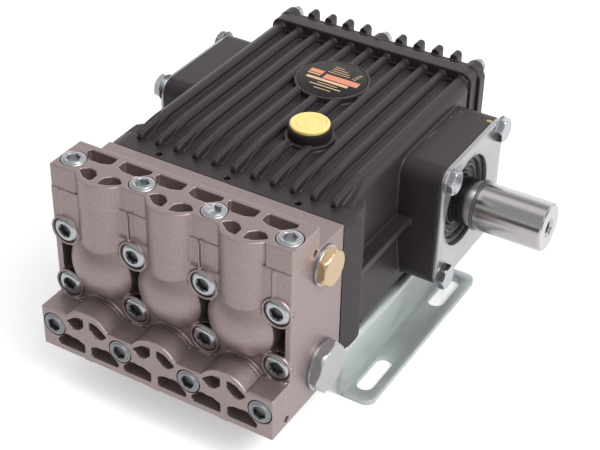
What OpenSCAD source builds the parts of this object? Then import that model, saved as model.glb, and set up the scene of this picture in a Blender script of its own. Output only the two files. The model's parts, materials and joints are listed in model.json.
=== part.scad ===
// High-pressure plunger pump with three cylinders: a finned crankcase, a nickel-plated
// manifold with two bolted valve covers, a solid drive shaft and two mounting rails.
// X runs along the crankshaft towards the shaft end, Y from the manifold to the rear, Z up.

/* [Cylinders] */
// Distance between neighbouring plunger axes
plunger_pitch = 37; // [35:0.5:40]
// Length of the manifold beyond its outermost screws
bank_end = 6.6; // [6.2:0.2:9]
// Height of the crankshaft axis above the feet
shaft_h = 66.2; // [63:0.2:70]
// Height of the plunger axes' domes above the feet
plunger_h = 65.4; // [62:0.2:68]
// Distance from the manifold seam back to the crankshaft axis
shaft_back = 92.3; // [90:0.1:100]

/* [Manifold] */
// Depth of the manifold from its seam to its screw face
manifold_d = 43; // [42:0.5:48]
// Height of the manifold's top face above the feet
manifold_top = 100.9; // [98:0.5:106]
// Height of the manifold's underside above the feet
manifold_bottom = 21; // [18:0.5:22]
// Outer radius of the valve chambers
chamber_r = 13.8; // [12.5:0.1:14.5]
// Distance from the manifold seam to the discharge valve axes
discharge_axis = 34; // [33:0.5:36]
// Height of the inlet valve axes above the feet
inlet_axis = 34.6; // [33:0.2:36]
// Radius of curvature of the domes at the plunger axes
dome_r = 21.6; // [18:0.2:26]
// How far the domes stand out in front of the screw face
dome_out = 8.2; // [6:0.2:10]
// Radius of the plunger barrels that the domes close
barrel_r = 16.8; // [15:0.1:17.2]
// How far the foot of the manifold stands out in front of its screw face
foot_lip = 2.6; // [2:0.2:4]
// Height of the upper screw row above the feet
upper_row = 79.5; // [78:0.5:82]
// Height of the lower screw row above the feet
lower_row = 49.6; // [48.5:0.2:50.5]
// Radius of the raised ring round each manifold screw
pad_r = 7.5; // [7.2:0.1:8.6]
// How far that ring stands out
pad_out = 1.2; // [0.6:0.1:2]
// Width of the thin ridges above the upper screws
line_w = 0.9; // [0.6:0.1:2]
// Depth of the recessed webs that those ridges stand on
web_deep = 1.2; // [0.6:0.1:2]
// Width of the dark slots between the domes
slot_w = 7; // [5:0.5:8]
// Height of those slots
slot_tall = 19; // [14:0.5:22]
// Depth of those slots
slot_deep = 16; // [8:1:20]

/* [Valve covers] */
// Thickness of a valve cover
cover_t = 11.5; // [10:0.5:13]
// Width of a valve cover from its straight edge to its end corners
cover_w = 22; // [21:0.5:24]
// Distance from the straight edge to the valve axes
cover_axis = 13.4; // [12.5:0.1:14]
// Depth of the cast pockets in a valve cover
pocket_deep = 6.5; // [5:0.5:9.5]
// Corner radius of the pockets
pocket_r = 0.9; // [0.6:0.1:1.6]

/* [Screws] */
// Head diameter of the valve cover screws
cap_head_d = 11.6; // [11:0.1:13]
// Head height of the valve cover screws
cap_head_h = 8; // [6:0.5:8.5]
// How far those heads stand out of the cover
cap_head_out = 0.6; // [0.4:0.1:2]
// Socket width of the valve cover screws across flats
cap_socket_w = 6; // [5:0.5:7]
// Head diameter of the manifold screws
star_head_d = 11.8; // [11:0.1:13]
// Head height of the manifold screws
star_head_h = 4.4; // [3:0.2:6]
// Shank diameter of every screw
shank_d = 8; // [6:0.5:8.5]
// Gap round each screw shank
shank_gap = 0.15; // [0.1:0.05:0.4]
// Gap between a manifold screw's head and its counterbore
head_gap = 0.6; // [0.4:0.1:1]
// Gap between a valve cover screw's head and its counterbore
cover_head_gap = 0.35; // [0.2:0.05:0.8]

/* [Crankcase] */
// Thickness of the crankcase's front flange
flange_t = 11.7; // [10:0.5:14]
// Half width of that flange
flange_half = 66; // [65:0.5:70]
// Height of the flange's underside, where the rails bear
seat_h = 26.8; // [25:0.2:28]
// Corner radius of the flange
flange_r = 9; // [4:0.5:10]
// Half width of the crankcase's upper walls
upper_half = 57.5; // [57:0.5:58.5]
// Half width of the crankcase at its underside
lower_half = 60.4; // [59:0.2:62]
// Height of the top of the side ledges
ledge_h = 69.6; // [67:0.2:72]
// Thickness of the side ledges
ledge_t = 3.6; // [3:0.2:5]
// Distance from the middle of the pump to a ledge's edge
ledge_out = 65; // [63:0.5:66]
// Height of the crankcase's underside
belly_h = 29.4; // [29:0.2:32]
// Height of the bed that the cooling ribs stand on
rib_bed_h = 102.4; // [101.5:0.1:103]
// Height of the cooling ribs above their bed
rib_h = 3.6; // [2.5:0.1:5]
// Distance from the seam to the rear end of the crankcase
case_back = 142; // [138:0.5:146]
// Number of cooling ribs
rib_count = 11; // [7:2:11]
// Distance between the cooling ribs
rib_pitch = 10.35; // [9.5:0.05:10.5]
// Width of a cooling rib at its crest
rib_crest = 2.2; // [1.6:0.1:3]
// Width of a cooling rib at its foot
rib_foot = 4.4; // [3.4:0.1:5]
// Distance from the seam to the front tips of the ribs
rib_front = 11.7; // [11.2:0.1:13]
// Distance from the seam to the bend in the ribs
rib_bend = 31; // [28:0.5:36]
// How far the ridge behind the ribs stands above them
ridge_out = 2; // [1:0.1:4]
// Depth of that ridge
ridge_d = 7.5; // [5:0.5:9]
// Half width of the crankcase's rear end
rear_half = 57.6; // [57.5:0.1:59]

/* [Bearing housings] */
// Half size of the square bearing housings
housing_half = 32.7; // [31:0.1:33]
// Distance from the middle of the pump to the shaft-side housing's face
housing_face = 78.4; // [76:0.2:82]
// Distance from the middle of the pump to the closed housing's face
closed_face = 75.2; // [74:0.2:82]
// Corner radius of the housings
housing_r = 8; // [5:0.5:10]
// Thickness of the bearing flange plates
plate_t = 2.2; // [2:0.1:4]
// Thickness of the closed bearing cover's rim
closed_t = 1.4; // [1.2:0.1:3]
// Radius of the oil sight glass in the closed cover
sight_r = 12.9; // [8:0.1:16]
// How far a flange plate's edge stands back from its housing's
plate_inset = 0.3; // [0.2:0.1:1.5]
// Distance of the plate bolts from the shaft axis, along Y and along Z
plate_bolt = 27; // [24:0.1:27.4]
// Width of the plate bolts' hexagons across flats
plate_bolt_af = 11; // [10:0.5:13]
// Head height of the plate bolts
plate_bolt_h = 4.2; // [3.6:0.1:6]
// Radius of the opening round the shaft
seal_seat_r = 23.2; // [21:0.1:23.4]
// Radius at which the plate starts to dish inwards round that opening
dish_r = 29; // [26:0.5:30]
// How far the plate is dished
dish_deep = 2.2; // [1:0.1:3]
// How far the seal lies behind the plate's face
seal_depth = 4.4; // [4:0.1:6]

/* [Drive shaft] */
// Diameter of the shaft end
shaft_d = 24; // [22:0.1:25]
// Distance from the middle of the pump to the shaft's end
shaft_end = 121.4; // [112:0.2:130]
// Diameter of the shaft where it runs in the seal
journal_d = 23; // [21:0.1:23.8]
// Distance from the middle of the pump to the shaft's shoulder
shoulder_at = 87; // [84:0.5:90]
// Gap between the shaft and what it runs in
running_gap = 0.06; // [0.03:0.01:0.1]
// Depth of the threaded hole in the shaft's end
shaft_hole_deep = 18; // [10:1:24]
// Radius of that hole
shaft_hole_r = 3.4; // [2.5:0.1:4.2]
// Width of the keyway
key_w = 8; // [6:1:8]
// Depth of the keyway
key_deep = 4; // [3:0.5:4]
// Length of the keyway
key_l = 28; // [20:1:30]

/* [Oil filler and label] */
// Distance of the filler from the middle of the pump
filler_x = 15.5; // [12:0.5:18]
// Distance from the seam to the filler
filler_y = 49.5; // [46:0.5:52]
// Diameter of the filler's yellow cap
cap_d = 19; // [17:0.5:21]
// Diameter of the filler's black neck
neck_d = 21; // [19:0.5:23]
// How far the filler's cap stands above the ribs
cap_out = 5.5; // [4:0.5:9]
// Distance from the seam to the middle of the label
label_y = 97.5; // [92:0.5:100]
// Diameter of the label
label_d = 34.5; // [30:0.5:36]

/* [Plugs and ports] */
// Distance from the seam to the discharge gallery
gallery_y = 16.5; // [15:0.5:22]
// Height of the discharge gallery
gallery_z = 90.4; // [88:0.2:91]
// Bore radius of the discharge port
discharge_port_r = 6.6; // [5:0.1:7]
// Distance from the seam to the inlet gallery
inlet_y = 17; // [15:0.5:24]
// Height of the inlet gallery
inlet_z = 35.8; // [35:0.2:42]
// Bore radius of the inlet port
inlet_port_r = 9.2; // [8:0.1:10]
// Depth of both ports
port_deep = 18; // [12:1:22]
// Width of the discharge plug's hexagon across flats
discharge_af = 16.4; // [14:0.1:18]
// Height of the discharge plug's head
discharge_head = 3.9; // [3:0.1:6]
// Width of the inlet plug's hexagon across flats
inlet_af = 22.2; // [20:0.1:27]
// Height of the inlet plug's head
inlet_head = 4.8; // [3:0.1:7]

/* [Rails] */
// Sheet thickness of the rails
sheet = 3; // [2.5:0.1:3.5]
// Distance from the middle of the pump to a rail's upright
rail_web = 59.4; // [58:0.2:61]
// Distance from the middle of the pump to a rail's outer edge
rail_edge = 77.9; // [76:0.2:80]
// Distance from the seam to the front of the rails
rail_front = 4; // [3:0.5:8]
// Length of the rails
rail_l = 114; // [110:1:120]
// Width of the rail bolts' heads across flats
rail_bolt_af = 13; // [11:0.5:17]
// Height of those heads
rail_bolt_head = 5.4; // [4:0.2:8]
// Width of the inner lip under the crankcase
rail_lip = 17; // [14:0.5:20]
// Length of a mounting slot
slot_l = 27; // [20:1:30]
// Width of a mounting slot
slot_hole_w = 8.6; // [8:0.2:9]
// Distance between the centres of the two slots on a rail
slot_gap = 74; // [70:1:76]

/* [Rear cover] */
// Thickness of the rear cover
rear_t = 6; // [5:0.5:8]
// Height of the fins on the rear cover
rear_fin = 5; // [3:0.5:7]
// Width of those fins
rear_fin_w = 4.2; // [2:0.2:5]
// How far those fins stand above the cover's top edge
rear_fin_up = 3; // [0:0.2:4]
// Width of the drain plug across flats
drain_af = 17; // [13:0.5:20]
// Height of the drain plug above the cover's lower edge
drain_up = 23; // [18:1:40]
// Bore radius of the drain
drain_r = 6.5; // [4:0.1:7]
// Radius of the rear cover's screw bosses
boss_r = 4.5; // [4:0.1:5.5]
// How far the upper boss centres lie below the ridge's top
boss_down = 4; // [3.4:0.2:6]
// Shank radius of the rear cover's screws
rear_shank_r = 2; // [1.6:0.1:2.1]
// Distance of the corner bosses from the middle of the pump
boss_x = 53; // [52:0.2:53.2]

/* [Hidden] */
$fn = 48;
bank_half = 1.5 * plunger_pitch + bank_end;
cylinders = [-plunger_pitch, 0, plunger_pitch];
screw_xs = [for (i = [-1.5:1:1.5]) i * plunger_pitch];
manifold_face = -manifold_d;
discharge_flat = -(discharge_axis - cover_axis);
inlet_flat = inlet_axis - cover_axis;
foot_face = manifold_face - foot_lip;
inlet_face = foot_face - cover_t;
dome_y = manifold_face - dome_out + dome_r;
cover_top = manifold_top + cover_t;
plate_face = housing_face + plate_t;
seal_face = plate_face - seal_depth;
shank_r = shank_d / 2;
shank_hole_r = shank_r + shank_gap;
// Screws reach this far into the manifold or the crankcase
screw_grip = 12;
head_seat = cap_head_h - cap_head_out;
case_l = case_back - flange_t;
rear_face = case_back + rear_t;
shaft_tail = 48;
hole_slack = 0.6;
slot_mid = rail_front + rail_l / 2;
slot_x = (rail_web + sheet + rail_edge) / 2 - 1;
rail_bolt_ys = [slot_mid - 34, slot_mid + 34];
rail_bolt_x = rail_web - rail_lip / 2;
eps = 0.01;

rib_top_h = rib_bed_h + rib_h;
ridge_h = rib_top_h + ridge_out;
cap_top_h = rib_top_h + cap_out;
boss_top_h = ridge_h - boss_down;
left_end = -(closed_face + closed_t + plate_bolt_h);
front_end = inlet_face - cap_head_out;
rear_end = rear_face + rear_fin;
rear_head_h = 4;
boss_out = 1.5;
rib_span = (rib_count - 1) / 2 * rib_pitch;
shoulder_h = rib_top_h - 0.8;
rear_grip = ridge_d - 1.6;
middle_x = (left_end + shaft_end) / 2;
middle_y = (front_end + rear_face + boss_out + rear_head_h) / 2;

nickel = [0.60, 0.54, 0.52];
black_paint = [0.20, 0.19, 0.20];
zinc = [0.78, 0.78, 0.80];
dull_zinc = [0.58, 0.61, 0.61];
steel = [0.72, 0.72, 0.74];
brass = [0.85, 0.66, 0.42];
rubber = [0.06, 0.06, 0.06];
yellow = [0.95, 0.82, 0.25];

// Moves the pump so that the middle of its footprint is at the origin
module placed() {
    translate([-middle_x, -middle_y, 0]) children();
}

// Bar with round ends along Y, seen from above
module slot_shape(l, w) {
    square([w, l - w], center = true);
    for (s = [-1, 1]) translate([0, s * (l - w) / 2]) circle(d = w);
}

// Rectangle from its corner points, with all corners rounded
module rounded_rect(x0, y0, x1, y1, r) {
    translate([x0 + r, y0]) square([x1 - x0 - 2 * r, y1 - y0]);
    translate([x0, y0 + r]) square([x1 - x0, y1 - y0 - 2 * r]);
    for (x = [x0 + r, x1 - r]) for (y = [y0 + r, y1 - r]) translate([x, y]) circle(r);
}

// Hexagon with a given width across flats
module hexagon(af) {
    circle(d = af / cos(30), $fn = 6);
}

// Children drawn in the XZ plane and made solid towards the front, from y back to y - t
module upright(y, t) {
    translate([0, y, 0]) rotate([90, 0, 0]) linear_extrude(t) children();
}

// Children drawn in the YZ plane and made solid along +X, from x to x + t
module crosswise(x, t) {
    translate([x, 0, 0]) rotate([90, 0, 90]) linear_extrude(t) children();
}

// Outline of a valve cover: u along the pump, w from the straight edge to the waves
module cover_outline() {
    translate([-bank_half, 0]) square([2 * bank_half, cover_w - 1.2]);
    for (s = [-1, 1]) {
        translate([s * (bank_half - bank_end), cover_w / 2]) square([2 * bank_end, cover_w], center = true);
    }
    for (x = cylinders) translate([x, cover_axis]) circle(chamber_r, $fn = 64);
}

// One cast pocket, as a polygon with its corners rounded
function unit(v) = v / norm(v);
function corner_arc(a, b, c, r, n) =
    let (
        p = unit(a - b),
        q = unit(c - b),
        half = acos(p * q) / 2,
        m = b + unit(p + q) * r / sin(half),
        s = b + p * r / tan(half) - m,
        e = b + q * r / tan(half) - m,
        turn = cross(s, e) > 0 ? 1 : -1,
        sweep = acos(min(1, s * e / (r * r)))
    )
    [for (i = [0:n])
        let (t = turn * sweep * i / n)
        m + [s.x * cos(t) - s.y * sin(t), s.x * sin(t) + s.y * cos(t)]];
function rounded(p, r, n = 3) =
    let (k = len(p))
    [for (i = [0:k - 1]) each corner_arc(p[(i + k - 1) % k], p[i], p[(i + 1) % k], r, n)];

// Pocket corners on one side of a valve axis, from the valve axis and the straight edge
low_pocket = [[-17, 3.2], [-1.8, 3.2], [-1.8, 8.4], [-6, 10.2], [-12.4, 10.4], [-17, 6]];
high_pocket = [[-11.6, 18.4], [-8, 15.4], [-4.6, 15.8], [-1.7, 18.6], [-1.7, 23.6], [-6.4, 22.4]];

module cover_pockets() {
    for (x = cylinders) translate([x, 0]) for (side = [0, 1]) mirror([side, 0]) {
        polygon(rounded(low_pocket, pocket_r));
        polygon(rounded(high_pocket, pocket_r));
    }
}

module cover_solid() {
    difference() {
        linear_extrude(cover_t) cover_outline();
        translate([0, 0, cover_t - pocket_deep]) linear_extrude(pocket_deep + 1) cover_pockets();
        for (s = [-1, 1]) translate([s * bank_half, 4, 0]) rotate([0, 90, 0]) rotate(45)
            cube([1.9, 1.9, 6], center = true);
        for (x = screw_xs) translate([x, cover_axis, 0]) {
            translate([0, 0, -1]) cylinder(r = shank_hole_r, h = cover_t + 2);
            translate([0, 0, cover_t - head_seat]) cylinder(d = cap_head_d + 2 * cover_head_gap, h = cover_t);
        }
    }
}

// Cap screw with its head's seat at z = 0 and its shank downwards
module cap_screw() {
    difference() {
        union() {
            cylinder(d = cap_head_d, h = cap_head_h);
            translate([0, 0, -(cover_t - head_seat + screw_grip)])
                cylinder(r = shank_r, h = cover_t - head_seat + screw_grip + eps);
        }
        translate([0, 0, cap_head_h - 4.2]) linear_extrude(5) hexagon(cap_socket_w);
    }
}

// Places children on the discharge cover: z = 0 on the manifold's top face
module on_top() {
    translate([0, discharge_flat, manifold_top]) mirror([0, 1, 0]) children();
}

// Places children on the inlet cover: z = 0 on the manifold's foot
module on_foot() {
    translate([0, foot_face, inlet_flat]) rotate([90, 0, 0]) children();
}

// Barrel round a plunger, closed by its dome
module plunger_barrel(x) {
    intersection() {
        translate([x, dome_y, plunger_h]) sphere(dome_r, $fn = 96);
        translate([x, -port_deep, plunger_h]) rotate([90, 0, 0]) cylinder(r = barrel_r, h = manifold_d, $fn = 96);
    }
}

// Block of the manifold with the dark slots between its barrels
module manifold_block() {
    difference() {
        translate([-bank_half, manifold_face, manifold_bottom])
            cube([2 * bank_half, manifold_d, manifold_top - manifold_bottom]);
        for (x = screw_xs) upright(manifold_face + slot_deep, slot_deep + 1)
            translate([x, plunger_h]) rounded_rect(-slot_w / 2, -slot_tall / 2, slot_w / 2, slot_tall / 2, 1.5);
        for (x = [-plunger_pitch / 2, plunger_pitch / 2])
            translate([x - chamber_r, manifold_face - 1, upper_row + pad_r + 0.1])
                cube([2 * chamber_r, 1 + web_deep, manifold_top]);
    }
}

module manifold() {
    color(nickel) difference() {
        union() {
            manifold_block();
            for (x = cylinders) plunger_barrel(x);
            on_foot() translate([0, 0, -foot_lip]) linear_extrude(foot_lip) cover_outline();
            for (x = cylinders) {
                translate([x, -discharge_axis, plunger_h])
                    cylinder(r = chamber_r, h = manifold_top - plunger_h, $fn = 64);
            }
            for (x = screw_xs) translate([x - 2.2 - line_w / 2, manifold_face - 0.6, upper_row + pad_r - 2.5])
                cube([line_w, web_deep + 1.6, manifold_top - 0.4 - upper_row - pad_r + 2.5]);
            for (x = screw_xs) for (z = [upper_row, lower_row]) {
                translate([x, manifold_face + eps, z]) rotate([90, 0, 0]) cylinder(r = pad_r, h = pad_out);
            }
        }
        for (x = screw_xs) {
            for (z = [upper_row, lower_row]) {
                translate([x, manifold_face + 3, z]) rotate([90, 0, 0])
                    cylinder(d = star_head_d + 2 * head_gap, h = 20);
                translate([x, manifold_face + 3 + screw_grip, z]) rotate([90, 0, 0])
                    cylinder(r = shank_hole_r, h = 20);
            }
            translate([x, -discharge_axis, manifold_top - screw_grip - hole_slack]) cylinder(r = shank_hole_r, h = 20);
            translate([x, foot_face + screw_grip + hole_slack, inlet_axis]) rotate([90, 0, 0])
                cylinder(r = shank_hole_r, h = 20);
        }
        for (s = [-1, 1]) {
            translate([s * (bank_half - port_deep), -gallery_y, gallery_z]) rotate([0, s * 90, 0])
                cylinder(r = discharge_port_r, h = port_deep + 1);
            translate([s * (bank_half - port_deep), -inlet_y, inlet_z]) rotate([0, s * 90, 0])
                cylinder(r = inlet_port_r, h = port_deep + 1);
        }
    }
}

module discharge_cover() {
    color(nickel) on_top() cover_solid();
}

module inlet_cover() {
    color(nickel) on_foot() cover_solid();
}

module discharge_cover_screws() {
    color(zinc) on_top() for (x = screw_xs)
        translate([x, cover_axis, cover_t - head_seat]) cap_screw();
}

module inlet_cover_screws() {
    color(zinc) on_foot() for (x = screw_xs)
        translate([x, cover_axis, cover_t - head_seat]) cap_screw();
}

// Row of manifold screws at height z, each with a star-shaped socket
module star_screws(z) {
    for (x = screw_xs) translate([x, manifold_face + 3, z]) rotate([90, 0, 0]) difference() {
        union() {
            cylinder(d = star_head_d, h = star_head_h - 1);
            translate([0, 0, star_head_h - 1 - eps])
                cylinder(r1 = star_head_d / 2, r2 = star_head_d / 2 - 1, h = 1);
            translate([0, 0, -screw_grip + hole_slack]) cylinder(r = shank_r, h = screw_grip);
        }
        translate([0, 0, star_head_h - 2.6]) linear_extrude(4) {
            circle(2.3, $fn = 24);
            for (a = [0:60:300]) rotate(a) translate([2.3, 0]) circle(0.8, $fn = 16);
        }
    }
}

module upper_manifold_screws() {
    color(zinc) star_screws(upper_row);
}

module lower_manifold_screws() {
    color(zinc) star_screws(lower_row);
}

// Half section of the crankcase behind its flange, mirrored about the middle
module case_section() {
    r = 5;
    top = shoulder_h;
    inner = rib_span;
    for (side = [0, 1]) mirror([side, 0]) {
        difference() {
            polygon([
                [-eps, belly_h], [lower_half - 2, belly_h], [lower_half, belly_h + 2], [lower_half, belly_h + 9],
                [upper_half + 0.4, ledge_h - ledge_t - 6], [upper_half, ledge_h], [upper_half, top - r],
                [upper_half, top], [inner, top], [inner, rib_bed_h], [-eps, rib_bed_h]
            ]);
            translate([upper_half - r, top - r]) difference() {
                square(r + 1);
                circle(r);
            }
        }
    }
}

// Wedge that takes off the top in front of the ribs' bend, from height z at the bend to z_front at the flange
module falling_cut(half, z, z_front) {
    run = rib_bend - flange_t;
    translate([-half, rib_bend, z]) rotate([atan((z - z_front) / run), 0, 0])
        translate([0, -2 * run, 0]) cube([2 * half, 2 * run, run]);
}

// Cooling rib seen from the side: tip at the front, bend, then level to the ridge
module cooling_rib() {
    drop = rib_bed_h - 6;
    for (w = [[rib_foot, 1.4], [(rib_foot + rib_crest) / 2, 0.5], [rib_crest, 0]]) {
        crosswise(-w[0] / 2, w[0]) polygon([
            [rib_front - 0.4, drop], [rib_front, manifold_top - 0.6 - w[1]], [rib_front + 2.5, manifold_top + 0.8 - w[1]],
            [(rib_front + rib_bend) / 2, manifold_top + 3.5 - w[1]], [rib_bend - 4, rib_top_h - 0.6 - w[1]],
            [rib_bend, rib_top_h - w[1]], [case_back - 2, rib_top_h - w[1]], [case_back - 2, drop]
        ]);
    }
}

module bearing_housing(face) {
    z0 = shaft_h - housing_half;
    z1 = shaft_h + housing_half;
    y0 = shaft_back - housing_half;
    y1 = shaft_back + housing_half;
    crosswise(upper_half - 8, face - upper_half + 8) rounded_rect(y0, z0, y1, z1, housing_r);
}

// What stands on the crankcase's right side: a gusset behind the flange and a ledge to the housing
module case_side() {
    translate([0, 0, ledge_h - ledge_t]) linear_extrude(manifold_top - 0.9 - ledge_h + ledge_t) polygon([
        [upper_half - 8, flange_t - 1], [upper_half + 4.5, flange_t - 1], [upper_half + 4.5, flange_t + 8],
        [upper_half, flange_t + 12.5], [upper_half - 8, flange_t + 12.5]
    ]);
    translate([upper_half - 8, flange_t - 1, ledge_h - ledge_t])
        cube([ledge_out - upper_half + 8, shaft_back - housing_half - flange_t + 2, ledge_t]);
}

module crankcase() {
    color(black_paint) difference() {
        union() {
            upright(flange_t, flange_t) rounded_rect(-flange_half, seat_h, flange_half, manifold_top, flange_r);
            difference() {
                upright(case_back, case_l + eps) case_section();
                falling_cut(rib_span, rib_bed_h, manifold_top - 2.4);
                falling_cut(flange_half, shoulder_h, manifold_top - 1.4);
            }
            for (i = [0:rib_count - 1])
                translate([(i - (rib_count - 1) / 2) * rib_pitch, 0, 0]) cooling_rib();
            upright(case_back, ridge_d) rounded_rect(-rear_half, belly_h, rear_half, ridge_h, 5);
            bearing_housing(housing_face);
            mirror([1, 0, 0]) bearing_housing(closed_face);
            case_side();
            mirror([1, 0, 0]) case_side();
            for (x = [-rail_bolt_x, rail_bolt_x]) for (y = rail_bolt_ys)
                translate([x, y, seat_h]) cylinder(r = 8, h = belly_h - seat_h + 1);
            translate([filler_x, filler_y, rib_bed_h - 4]) cylinder(d = neck_d + 2.8, h = 6.2);
            translate([0, label_y, rib_bed_h - 2]) cylinder(d = label_d + 3, h = rib_top_h - rib_bed_h + 2.2);
        }
        translate([0, label_y, rib_top_h - 1]) cylinder(d = label_d + 0.4, h = 5);
        for (x = [-plunger_pitch, 0, plunger_pitch])
            translate([x, 3.4, manifold_top - 6]) cylinder(r = 1.6, h = 8);
        translate([shaft_tail - hole_slack, shaft_back, shaft_h]) rotate([0, 90, 0])
            cylinder(r = journal_d / 2 + running_gap, h = housing_face);
        translate([seal_face - 8, shaft_back, shaft_h]) rotate([0, 90, 0]) cylinder(r = seal_seat_r, h = 20);
        translate([housing_face - dish_deep, shaft_back, shaft_h]) rotate([0, 90, 0])
            cylinder(r1 = seal_seat_r + 0.5, r2 = dish_r + 0.2, h = dish_deep + eps);
        for (y = [-1, 1]) for (z = [-1, 1]) translate([0, shaft_back + y * plate_bolt, shaft_h + z * plate_bolt]) {
            translate([housing_face - screw_grip - hole_slack, 0, 0]) rotate([0, 90, 0])
                cylinder(r = shank_r * 0.75 + shank_gap, h = 20);
            translate([-closed_face + screw_grip + hole_slack, 0, 0]) rotate([0, -90, 0])
                cylinder(r = shank_r * 0.75 + shank_gap, h = 20);
        }
        for (i = [0:rib_count - 2]) translate([(i - rib_count / 2 + 1) * rib_pitch, case_back - ridge_d - 2, rib_top_h])
            cube([rib_pitch - rib_foot + 0.4, 3, 2 * (rib_h + 2.2)], center = true);
        for (s = [-1, 1]) translate([s * (upper_half + 3.3), case_back - ridge_d - 1.6, rib_top_h])
            cube([10, 3.2, 2 * (rib_top_h - shaft_h)], center = true);
        translate([filler_x, filler_y, rib_bed_h - 6]) cylinder(d = neck_d - 6, h = 12);
        translate([filler_x, filler_y, rib_bed_h + 2.2]) cylinder(d = neck_d + 1.4, h = 12);
        for (x = [-rail_bolt_x, rail_bolt_x]) for (y = rail_bolt_ys)
            translate([x, y, seat_h - 1]) cylinder(r = shank_hole_r, h = screw_grip + hole_slack + 1);
        for (p = boss_centres) translate([p.x, case_back + 1, p.y]) rotate([90, 0, 0])
            cylinder(r = rear_shank_r + shank_gap, h = rear_grip + 1 + hole_slack);
    }
}

boss_low_h = belly_h + 5;
boss_centres = [
    for (x = [-boss_x, 0, boss_x]) each [[x, boss_top_h], [x, boss_low_h]],
];

module rear_cover() {
    color(black_paint) difference() {
        union() {
            upright(rear_face, rear_t) rounded_rect(-rear_half - 1.5, belly_h, rear_half + 1.5, boss_top_h + 2.2, 5);
            for (p = boss_centres) upright(rear_face + boss_out, rear_t + boss_out) translate(p) circle(boss_r);
            for (i = [-4, -3, -2, -1, 1, 2, 3, 4]) upright(rear_end, rear_fin + 1) {
                x0 = i * rib_pitch - rear_fin_w / 2;
                translate([x0, belly_h + 6]) square([rear_fin_w, boss_top_h + rear_fin_up - belly_h - 6]);
                translate([x0 + rear_fin_w / 2, boss_top_h + rear_fin_up]) circle(d = rear_fin_w);
            }
        }
        for (p = boss_centres) translate([p.x, rear_end, p.y]) rotate([90, 0, 0])
            cylinder(r = rear_shank_r + shank_gap, h = 40);
        translate([0, rear_end, belly_h + drain_up]) rotate([90, 0, 0]) {
            cylinder(d = drain_af + 4, h = rear_fin);
            cylinder(r = drain_r + shank_gap, h = 40);
        }
    }
}

module rear_cover_screws() {
    color(zinc) for (p = boss_centres) translate([p.x, rear_face + boss_out, p.y]) rotate([-90, 0, 0]) {
        difference() {
            cylinder(d = 7, h = rear_head_h);
            translate([0, 0, rear_head_h - 2]) linear_extrude(5) hexagon(3);
        }
        translate([0, 0, -rear_t - boss_out - rear_grip])
            cylinder(r = rear_shank_r, h = rear_t + boss_out + 0.1 + rear_grip);
    }
}

module drain_plug() {
    color(zinc) translate([0, rear_face, belly_h + drain_up]) rotate([-90, 0, 0]) {
        cylinder(d = drain_af + 3, h = 1.5);
        linear_extrude(rear_fin) hexagon(drain_af);
        translate([0, 0, -rear_t]) cylinder(r = drain_r, h = rear_t + 1);
    }
}

// Square bearing plate with four bolt holes
module plate_outline() {
    h = housing_half - plate_inset;
    difference() {
        rounded_rect(shaft_back - h, shaft_h - h, shaft_back + h, shaft_h + h, housing_r);
        for (y = [-1, 1]) for (z = [-1, 1])
            translate([shaft_back + y * plate_bolt, shaft_h + z * plate_bolt]) circle(shank_r * 0.75 + shank_gap);
    }
}

module bearing_flange() {
    color(zinc) difference() {
        union() {
            crosswise(housing_face, plate_t) plate_outline();
            translate([housing_face - dish_deep, shaft_back, shaft_h]) rotate([0, 90, 0])
                cylinder(r1 = seal_seat_r + 0.3, r2 = dish_r, h = dish_deep + eps);
        }
        translate([0, shaft_back, shaft_h]) rotate([0, 90, 0]) cylinder(r = seal_seat_r - 0.2, h = 200);
        translate([plate_face - dish_deep, shaft_back, shaft_h]) rotate([0, 90, 0])
            cylinder(r1 = seal_seat_r - 0.2, r2 = dish_r, h = dish_deep + eps);
    }
}

// Four hexagon bolts that hold a plate of thickness t on a housing
module plate_bolts(face, t) {
    for (y = [-1, 1]) for (z = [-1, 1])
        translate([face + t, shaft_back + y * plate_bolt, shaft_h + z * plate_bolt]) rotate([0, 90, 0]) {
            intersection() {
                rotate(11 + 17 * y) linear_extrude(plate_bolt_h) hexagon(plate_bolt_af);
                cylinder(r1 = plate_bolt_af / 2 + plate_bolt_h, r2 = plate_bolt_af / 2, h = plate_bolt_h);
            }
            translate([0, 0, -t - screw_grip]) cylinder(r = shank_r * 0.75, h = t + screw_grip + eps);
        }
}

module bearing_flange_bolts() {
    color(zinc) plate_bolts(housing_face, plate_t);
}

module closed_cover_bolts() {
    color(zinc) mirror([1, 0, 0]) plate_bolts(closed_face, closed_t);
}

module closed_bearing_cover() {
    color(zinc) mirror([1, 0, 0]) difference() {
        crosswise(closed_face, closed_t) plate_outline();
        translate([0, shaft_back, shaft_h]) rotate([0, 90, 0]) cylinder(r = sight_r + 0.1, h = 200);
    }
}

module sight_glass() {
    color(steel) mirror([1, 0, 0]) translate([closed_face, shaft_back, shaft_h]) rotate([0, 90, 0]) difference() {
        cylinder(r = sight_r, h = closed_t + 2);
        translate([0, 0, closed_t + 1]) cylinder(r = sight_r * 0.74, h = 5);
    }
}

module shaft_seal() {
    color(rubber) translate([seal_face - 8, shaft_back, shaft_h]) rotate([0, 90, 0]) rotate_extrude() {
        translate([seal_seat_r - 4, 0]) square([4 - 0.05, 8]);
        translate([journal_d / 2 + 4, 0]) square([seal_seat_r - journal_d / 2 - 8 + eps, 5.4]);
        translate([journal_d / 2 + running_gap, 0]) square([4.1, 7]);
    }
}

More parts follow.
